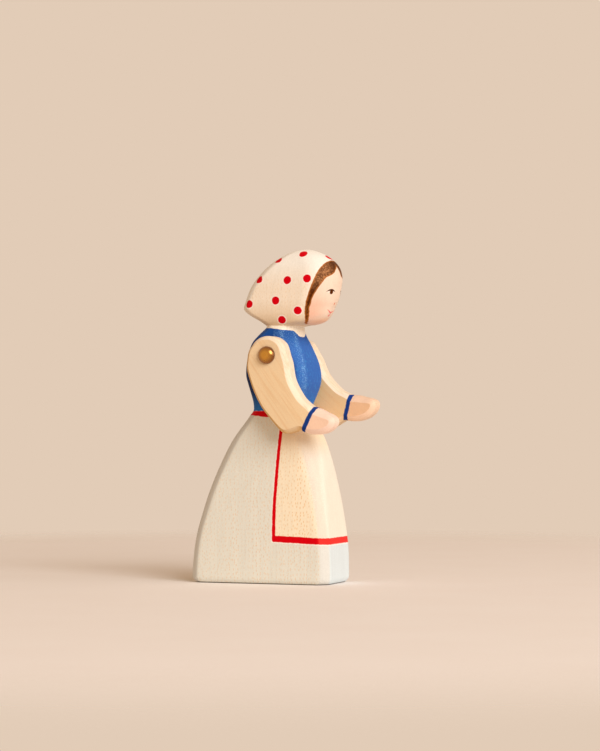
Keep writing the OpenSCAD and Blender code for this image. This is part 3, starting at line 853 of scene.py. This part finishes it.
# Each arm is made as a flat board with worked edges, drilled, and turned to its
# place, the right one as it hangs and the left one a little higher
for name, side, lift in (("right", -1, 0.0), ("left", 1, LEFT_LIFT)):
    low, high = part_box(f"{name}_arm")
    inner, outer = sorted((abs(low.x) / MM, abs(high.x) / MM))
    edge = outline[:, 2]
    layers = [(outer + 0 * edge, drawn_in(outline, edge + CAP_RIM))]
    for u in 1 - spaced(EDGE_STEPS)[0]:
        across, along = corner(u, ARM_ROUND_SHARE)
        layers.append((outer - edge * (1 - along), drawn_in(outline, edge * (1 - across))))
    layers += [(outer - edge - rim, outline[:, :2]) for rim in (0, CAP_RIM)]
    layers += [(inner + outer - x, flat) for x, flat in layers[::-1]]
    count = len(outline)
    blank_points = np.concatenate([np.column_stack([side * x, flat]) for x, flat in layers])
    faces = walls_between(len(layers), count)
    faces.append(list(range(count)))
    faces.append(list(range((len(layers) - 1) * count, len(layers) * count)))
    blank = mesh_piece(f"{name}_arm_blank", blank_points, faces)

    drill = set_out("drill", bpy.data.meshes.new("drill"))
    drill_way = Matrix.Rotation(math.pi / 2, 4, "Y")
    drill_place = Matrix.Translation((0, 0, side * outer * MM))
    bit = bmesh.new()
    bmesh.ops.create_cone(
        bit, cap_ends=True, segments=BORE_SIDES, radius1=BORE_WIDTH / 2 * MM,
        radius2=BORE_WIDTH / 2 * MM, depth=2 * outer * MM, matrix=drill_way @ drill_place,
    )
    bit.to_mesh(drill.data)
    bit.free()
    bore = blank.modifiers.new("bore", "BOOLEAN")
    bore.object, bore.operation, bore.solver = drill, "DIFFERENCE", "EXACT"
    evaluated = blank.evaluated_get(bpy.context.evaluated_depsgraph_get())
    mesh = bpy.data.meshes.new_from_object(evaluated)
    for helper in (blank, drill):
        bpy.data.objects.remove(helper)

    places = np.empty(len(mesh.vertices) * 3)
    mesh.vertices.foreach_get("co", places)
    places = places.reshape(-1, 3) / MM
    turn = math.radians(lift)
    reach = places[:, 1] * math.cos(turn) - places[:, 2] * math.sin(turn)
    rise = places[:, 2] * math.cos(turn) + places[:, 1] * math.sin(turn)
    pivot = next(joint for joint in frame["joints"] if joint["name"] == f"{name}_shoulder")
    pivot = np.array(pivot["pos_m"]) / MM
    turned = np.column_stack([places[:, 0], pivot[1] - reach, pivot[2] + rise]) * MM
    mesh.vertices.foreach_set("co", turned.reshape(-1))
    board = mesh.attributes.new("board", "FLOAT_VECTOR", "POINT")
    board.data.foreach_set("vector", places.reshape(-1))
    mesh.flip_normals()
    # The two flat faces count as wholly sideways, also beside the bore
    from_side = np.abs(places[:, 0])
    on_face = np.minimum(np.abs(from_side - inner), np.abs(from_side - outer)) < TINY
    sideways = np.where(on_face, 1.0, [abs(vertex.normal.x) for vertex in mesh.vertices])
    mesh.attributes.new("sideways", "FLOAT", "POINT").data.foreach_set("value", sideways)
    is_rounded = [abs(face.normal.x) < FLAT_SHARE for face in mesh.polygons]
    mesh.polygons.foreach_set("use_smooth", is_rounded)
    mesh.materials.clear()
    mesh.materials.append(arm_maple)
    arm = set_out(f"{name}_arm_sawn", mesh)
    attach(arm, f"{name}_arm")
    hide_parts(f"{name}_arm")

# Each arm hangs on a brass nail with a pressed dome head, driven through the arm
# into the side of the torso, which leaves the arm free to turn. Sizes are in
# millimetres, and the point and the rim are shares of the shank and the head.
SHANK_WIDTH = 1.6
DOME_GAP = 0.1
POINT_SHARE = 0.8
RIM_SHARE = 0.12
tree = dome_nail = bpy.data.node_groups.new("dome nail", "GeometryNodeTree")
nail_inputs = {}
for name, kind in (
    ("Head Width", "Float"), ("Head Height", "Float"), ("Shank Width", "Float"),
    ("Shank Length", "Float"), ("Place", "Vector"), ("Side", "Float"), ("Finish", "Material"),
):
    socket = tree.interface.new_socket(name, in_out="INPUT", socket_type=f"NodeSocket{kind}")
    nail_inputs[name] = socket.identifier
tree.interface.new_socket("Nail", in_out="OUTPUT", socket_type="NodeSocketGeometry")
sizes = add(tree, "NodeGroupInput").outputs
head_radius = add(tree, "ShaderNodeMath", [sizes["Head Width"], 0.5], operation="MULTIPLY")
shank_radius = add(tree, "ShaderNodeMath", [sizes["Shank Width"], 0.5], operation="MULTIPLY")
point = add(tree, "ShaderNodeMath", [sizes["Shank Width"], POINT_SHARE], operation="MULTIPLY")
shank = add(tree, "ShaderNodeMath", [sizes["Shank Length"], point], operation="SUBTRACT")
rim = add(tree, "ShaderNodeMath", [sizes["Head Height"], RIM_SHARE], operation="MULTIPLY")
dome = add(tree, "ShaderNodeMath", [sizes["Head Height"], rim], operation="SUBTRACT")
# The nail is shaped from a ball's rings, by their latitude: those up to -75 degrees
# make the point, to -15 the shank, to -5 the underside of the head, to 0 the rim,
# and those above it the dome
BALL_FOOT, POINT_END, SHANK_END, UNDERSIDE_END, RIM_END = (
    math.radians(angle) for angle in (-90, -75, -15, -5, 0)
)
ball = add(tree, "GeometryNodeMeshUVSphere", {"Segments": 64, "Rings": 36, "Radius": 1.0})
ball_place = add(tree, "ShaderNodeSeparateXYZ", [add(tree, "GeometryNodeInputPosition")])
latitude = add(tree, "ShaderNodeMath", [ball_place.outputs["Z"]], operation="ARCSINE")
above = add(tree, "ShaderNodeMath", [latitude, 0.0], operation="MAXIMUM")
radius = [latitude, SHANK_END, UNDERSIDE_END, shank_radius, head_radius]
radius = add(tree, "ShaderNodeMapRange", radius)
narrowing = add(tree, "ShaderNodeMapRange", [latitude, BALL_FOOT, POINT_END])
rounding = add(tree, "ShaderNodeMath", [above], operation="COSINE")
radius = add(tree, "ShaderNodeMath", [radius, narrowing], operation="MULTIPLY")
radius = add(tree, "ShaderNodeMath", [radius, rounding], operation="MULTIPLY")
rise = add(tree, "ShaderNodeMath", [above], operation="SINE")
rim_rise = add(tree, "ShaderNodeMapRange", [latitude, UNDERSIDE_END, RIM_END, 0.0, rim])
rise = add(tree, "ShaderNodeMath", [rise, dome, rim_rise], operation="MULTIPLY_ADD")
for start, end, length in ((SHANK_END, POINT_END, shank), (POINT_END, BALL_FOOT, point)):
    fall = add(tree, "ShaderNodeMapRange", [latitude, start, end, 0.0, length])
    rise = add(tree, "ShaderNodeMath", [rise, fall], operation="SUBTRACT")
flat_way = add(tree, "ShaderNodeCombineXYZ", [ball_place.outputs["X"], ball_place.outputs["Y"]])
flat_way = add(tree, "ShaderNodeVectorMath", [flat_way], operation="NORMALIZE")
flat_way = add(tree, "ShaderNodeVectorMath", [flat_way, radius], operation="SCALE")
flat_x, flat_y, _ = add(tree, "ShaderNodeSeparateXYZ", [flat_way]).outputs
turned = add(tree, "ShaderNodeCombineXYZ", [
    add(tree, "ShaderNodeMath", [rise, sizes["Side"]], operation="MULTIPLY"),
    add(tree, "ShaderNodeMath", [flat_x, sizes["Side"]], operation="MULTIPLY"),
    flat_y,
])
placed = add(tree, "ShaderNodeVectorMath", [turned, sizes["Place"]], operation="ADD")
shaped = add(tree, "GeometryNodeSetPosition", {"Geometry": ball, "Position": placed})
smooth = add(tree, "GeometryNodeSetShadeSmooth", {"Geometry": shaped})
real = add(tree, "GeometryNodeRealizeInstances", {"Geometry": smooth})
finished = add(tree, "GeometryNodeSetMaterial", {"Geometry": real, "Material": sizes["Finish"]})
add(tree, "NodeGroupOutput", [finished])

# Pressed brass under clear lacquer: a warm yellow metal with one small bright spot
# from the lamps and a softened mirror of the room. It is painted browner towards the
# rim, as a painted dark reflection where the dome turns away. The reach of that
# painted darkening from the nail's middle and the size of the brass's spots are in
# millimetres.
BRASS_COLOURS = ("CE8C18", "E2A230")
RIM_SHADE_COLOUR = "7E4604"
RIM_SHADE_REACH = (1.0, 2.9)
BRASS_SPOT = 1.111
BRASS_ROUGHNESS = (0.2, 0.28)
LACQUER_ROUGHNESS = 0.2
brass, tree = started("pressed brass, lacquered")
place = add(tree, "ShaderNodeTexCoord").outputs["Object"]
spots = add(tree, "ShaderNodeTexNoise", {
    "Vector": place, "Scale": 1 / (BRASS_SPOT * MM), "Detail": 3.0,
})
nail_place = next(joint for joint in frame["joints"] if joint["name"] == "right_shoulder")["pos_m"]
to_rim = add(tree, "ShaderNodeVectorMath", [place, nail_place], operation="SUBTRACT")
to_rim = add(tree, "ShaderNodeVectorMath", [to_rim, (0.0, 1 / MM, 1 / MM)], operation="MULTIPLY")
to_rim = add(tree, "ShaderNodeVectorMath", [to_rim], operation="LENGTH")
to_rim = add(tree, "ShaderNodeMapRange", [to_rim, *RIM_SHADE_REACH])
colour = add(tree, "ShaderNodeMix", [spots, *BRASS_COLOURS], data_type="RGBA")
# Painted dark reflection, browner towards the rim
colour = add(tree, "ShaderNodeMix", [to_rim, colour, RIM_SHADE_COLOUR], data_type="RGBA")
lacquered = add(tree, "ShaderNodeBsdfPrincipled", {
    "Base Color": colour, "Metallic": 1.0, "Coat Weight": 1.0, "Coat Roughness": LACQUER_ROUGHNESS,
    "Roughness": add(tree, "ShaderNodeMapRange", [spots, *NOISE_RANGE, *BRASS_ROUGHNESS]),
})
add(tree, "ShaderNodeOutputMaterial", {"Surface": lacquered})

for name, side in (("right", -1), ("left", 1)):
    low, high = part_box(f"{name}_nail")
    arm_low, arm_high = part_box(f"{name}_arm")
    reach_out = max(abs(low.x), abs(high.x))
    reach_in = min(abs(low.x), abs(high.x))
    rim_place = max(abs(arm_low.x), abs(arm_high.x)) + DOME_GAP * MM
    nail = set_out(f"{name}_dome_nail", bpy.data.meshes.new(f"{name}_dome_nail"))
    maker = nail.modifiers.new("nail", "NODES")
    maker.node_group = dome_nail
    values = {
        "Head Width": high.z - low.z, "Head Height": reach_out - rim_place,
        "Shank Width": SHANK_WIDTH * MM, "Shank Length": rim_place - reach_in,
        "Side": float(side), "Finish": brass,
        "Place": (side * rim_place, (low.y + high.y) / 2, (low.z + high.z) / 2),
    }
    for input_name, value in values.items():
        maker[nail_inputs[input_name]] = value
    evaluated = nail.evaluated_get(bpy.context.evaluated_depsgraph_get())
    nail.data = bpy.data.meshes.new_from_object(evaluated)
    nail.modifiers.clear()
    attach(nail, "figure")
    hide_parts(f"{name}_nail")

# The doll stands on a sheet of pale uncoated card, matt, with fibres too fine to
# show and a tint that drifts over some centimetres. It fades into the pale wall
# behind it. The radius and the fade are in metres, the drift in millimetres.
FLOOR_RADIUS = 0.42
FADE_START, FADE_END = 0.27, 0.40
FLOOR_SIDES = 96
CARD_COLOURS = ("F9F3F0", "FCF8F6")
CARD_DRIFT = 33.33
CARD_ROUGHNESS = 0.9
CARD_SHINE = 0.2
floor_points = [
    (FLOOR_RADIUS * math.cos(a) / MM, FLOOR_RADIUS * math.sin(a) / MM, 0.0)
    for a in np.linspace(0, 2 * math.pi, FLOOR_SIDES, endpoint=False)
]
floor = mesh_piece("floor", floor_points, [list(range(FLOOR_SIDES))])
card, tree = started("uncoated card")
place = add(tree, "ShaderNodeTexCoord").outputs["Object"]
drift = add(tree, "ShaderNodeTexNoise", {
    "Vector": place, "Scale": 1 / (CARD_DRIFT * MM), "Detail": 4.0,
})
matt = add(tree, "ShaderNodeBsdfPrincipled", {
    "Base Color": add(tree, "ShaderNodeMix", [drift, *CARD_COLOURS], data_type="RGBA"),
    "Roughness": CARD_ROUGHNESS, "Specular IOR Level": CARD_SHINE,
})
far = add(tree, "ShaderNodeVectorMath", [place], operation="LENGTH")
fade = add(
    tree, "ShaderNodeMapRange", [far, FADE_START, FADE_END], interpolation_type="SMOOTHSTEP"
)
faded = add(tree, "ShaderNodeMixShader", [fade, matt, add(tree, "ShaderNodeBsdfTransparent")])
add(tree, "ShaderNodeOutputMaterial", {"Surface": faded})
floor.data.materials.append(card)

# The camera stands level with the doll's middle, at its right side and a little
# towards its face, and looks up by a degree. Angles are in degrees, distances in
# metres, and the sensor and the lens in millimetres.
VIEW_TURN = 20.6
VIEW_RISE = 1.0
VIEW_DISTANCE = 0.820
VIEW_HEIGHT = 0.056
VIEW_SHIFT = 0.0097
SENSOR = 36.0
LENS = 115.17
turn, tilt = math.radians(VIEW_TURN), math.radians(VIEW_RISE)
look = Vector((math.cos(turn), math.sin(turn), 0))
right = Vector((math.sin(turn), -math.cos(turn), 0))
up = Vector((0, 0, 1))
camera = set_out("camera", bpy.data.cameras.new("camera"))
camera.data.sensor_fit = "VERTICAL"
camera.data.sensor_height = SENSOR
camera.data.lens = LENS
camera.location = right * VIEW_SHIFT - look * VIEW_DISTANCE + up * VIEW_HEIGHT
aim = look * math.cos(tilt) + up * math.sin(tilt)
camera.rotation_euler = aim.to_track_quat("-Z", "Y").to_euler()
bpy.context.scene.camera = camera

# Two wide round lamps stand three metres off: the key lamp up behind the camera,
# a little towards the doll's face, and a weak one further round, like a window.
# Each has its way from the doll, its width in metres, its watts and its colour.
LAMP_DISTANCE = 3.0
LAMPS = [
    ("key lamp", -look * 0.716 + right * 0.437 + up * 0.45, 2.06, 66.0, "FFFEFC"),
    ("window lamp", -look * 0.35 + right * 0.88 + up * 0.32, 2.25, 14.4, "FFFFFF"),
]
for name, way, width, power, tint in LAMPS:
    lamp = set_out(name, bpy.data.lights.new(name, "AREA"))
    lamp.data.shape = "DISK"
    lamp.data.size = width
    lamp.data.energy = power
    lamp.data.color = linear(tint)[:3]
    lamp.location = way.normalized() * LAMP_DISTANCE + up * VIEW_HEIGHT
    lamp.rotation_euler = (-way).to_track_quat("-Z", "Y").to_euler()

# The room gives an even warm light, and shows as a pale wall to the camera, in
# gloss and through clear things
ROOM_STRENGTH = 0.56
ROOM_COLOUR = "E8C29A"
WALL_COLOUR = "E2CCB7"
room = bpy.data.worlds.new("pale room")
bpy.context.scene.world = room
room.use_nodes = True
tree = room.node_tree
tree.nodes.clear()
rays = add(tree, "ShaderNodeLightPath").outputs
seen = rays["Is Camera Ray"]
for kind in ("Is Glossy Ray", "Is Transmission Ray"):
    seen = add(tree, "ShaderNodeMath", [seen, rays[kind]], operation="MAXIMUM")
shown = add(tree, "ShaderNodeBackground", {
    "Color": add(tree, "ShaderNodeMix", [seen, ROOM_COLOUR, WALL_COLOUR], data_type="RGBA"),
    "Strength": add(tree, "ShaderNodeMapRange", [seen, 0.0, 1.0, ROOM_STRENGTH, 1.0]),
})
add(tree, "ShaderNodeOutputWorld", {"Surface": shown})
bpy.context.scene.view_settings.view_transform = "Standard"
